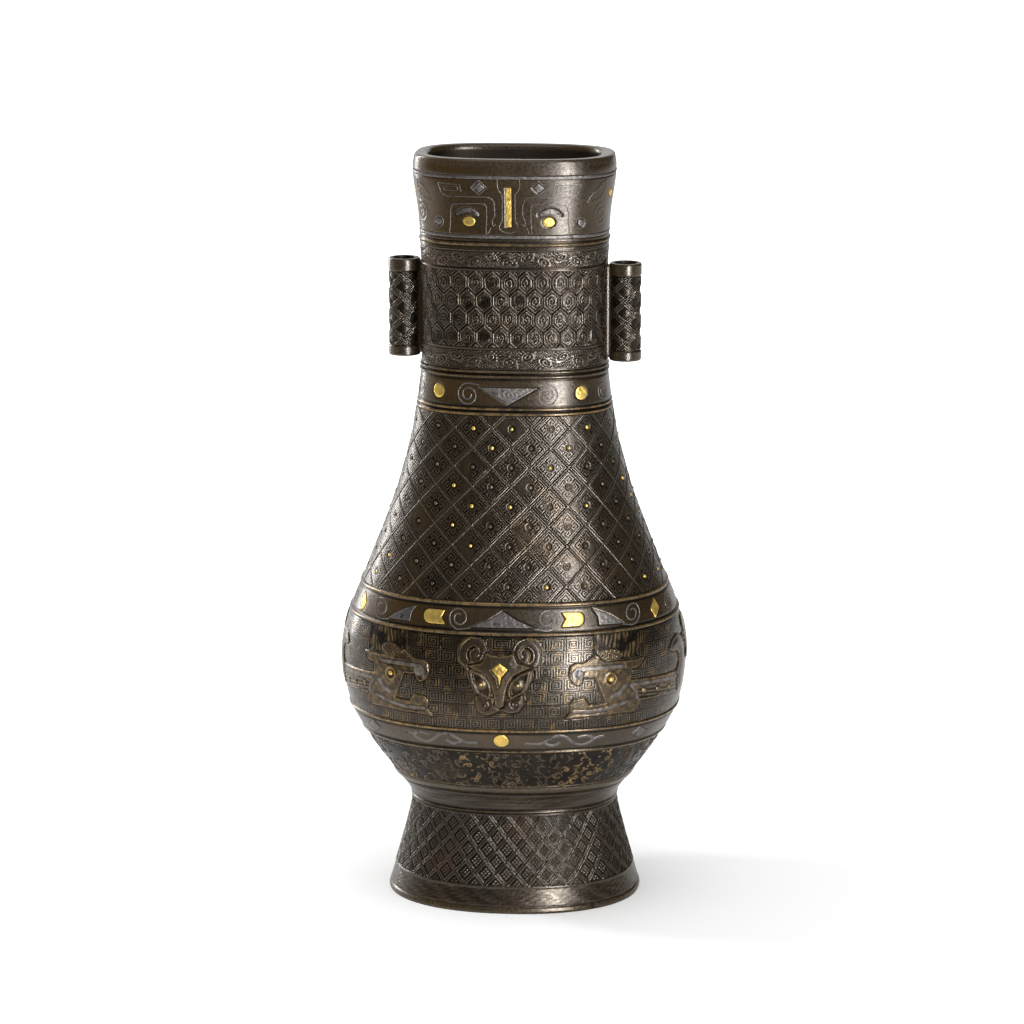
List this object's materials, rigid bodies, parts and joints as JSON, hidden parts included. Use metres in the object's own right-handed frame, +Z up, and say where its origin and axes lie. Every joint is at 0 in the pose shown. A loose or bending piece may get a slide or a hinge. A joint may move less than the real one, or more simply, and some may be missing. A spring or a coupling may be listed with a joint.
{
  "type": "bronze arrow vase",
  "caption": "Flattened pear-shaped bronze vase on a hollow flared foot, with tubular lugs beside the neck, relief masks and ornaments inlaid in gold and silver.",
  "frame": {"origin": "middle of the foot's resting edge, at the bottom", "axes": "+Z up to the mouth, +X to the right lug, -Y out of the front with the mask"},
  "size_m": [0.138, 0.1166, 0.3],
  "materials": {
    "patinated_bronze": "dark brown patina, rubbed coppery on the ridges",
    "gold_inlay": "hammered sheet gold, soft polish",
    "silver_inlay": "hammered sheet silver with dark tarnish"
  },
  "bodies": {
    "root": {"arrow_tube_left": "patinated_bronze", "arrow_tube_right": "patinated_bronze", "base_plate": "patinated_bronze", "gold_forehead_kite_back": "gold_inlay", "gold_forehead_kite_front": "gold_inlay", "gold_lower_dot_back": "gold_inlay", "gold_lower_dot_front": "gold_inlay", "gold_mask_bar_back": "gold_inlay", "gold_mask_bar_front": "gold_inlay", "gold_mask_eye_left_back": "gold_inlay", "gold_mask_eye_left_front": "gold_inlay", "gold_mask_eye_right_back": "gold_inlay", "gold_mask_eye_right_front": "gold_inlay", "gold_neck_roundel_left_back": "gold_inlay", "gold_neck_roundel_left_front": "gold_inlay", "gold_neck_roundel_right_back": "gold_inlay", "gold_neck_roundel_right_front": "gold_inlay", "gold_shoulder_diamond_left_back": "gold_inlay", "gold_shoulder_diamond_left_front": "gold_inlay", "gold_shoulder_diamond_right_back": "gold_inlay", "gold_shoulder_diamond_right_front": "gold_inlay", "gold_side_lozenge_left_back": "gold_inlay", "gold_side_lozenge_left_front": "gold_inlay", "gold_side_lozenge_right_back": "gold_inlay", "gold_side_lozenge_right_front": "gold_inlay", "gold_swallowtail_left_back": "gold_inlay", "gold_swallowtail_left_front": "gold_inlay", "gold_swallowtail_right_back": "gold_inlay", "gold_swallowtail_right_front": "gold_inlay", "silver_border_lower": "silver_inlay", "silver_border_upper": "silver_inlay", "silver_cloud_scroll_left_back": "silver_inlay", "silver_cloud_scroll_left_front": "silver_inlay", "silver_cloud_scroll_right_back": "silver_inlay", "silver_cloud_scroll_right_front": "silver_inlay", "silver_inner_spiral_left_back": "silver_inlay", "silver_inner_spiral_left_front": "silver_inlay", "silver_inner_spiral_right_back": "silver_inlay", "silver_inner_spiral_right_front": "silver_inlay", "silver_leaf_left_back": "silver_inlay", "silver_leaf_left_front": "silver_inlay", "silver_leaf_right_back": "silver_inlay", "silver_leaf_right_front": "silver_inlay", "silver_lower_diamond_left_back": "silver_inlay", "silver_lower_diamond_left_front": "silver_inlay", "silver_lower_diamond_right_back": "silver_inlay", "silver_lower_diamond_right_front": "silver_inlay", "silver_mouth_lozenge_left_back": "silver_inlay", "silver_mouth_lozenge_left_front": "silver_inlay", "silver_mouth_lozenge_right_back": "silver_inlay", "silver_mouth_lozenge_right_front": "silver_inlay", "silver_neck_triangle_back": "silver_inlay", "silver_neck_triangle_front": "silver_inlay", "silver_outer_spiral_left_back": "silver_inlay", "silver_outer_spiral_left_front": "silver_inlay", "silver_outer_spiral_right_back": "silver_inlay", "silver_outer_spiral_right_front": "silver_inlay", "silver_shoulder_triangle_back": "silver_inlay", "silver_shoulder_triangle_front": "silver_inlay", "vase_body": "patinated_bronze"}
  },
  "joints": []
}
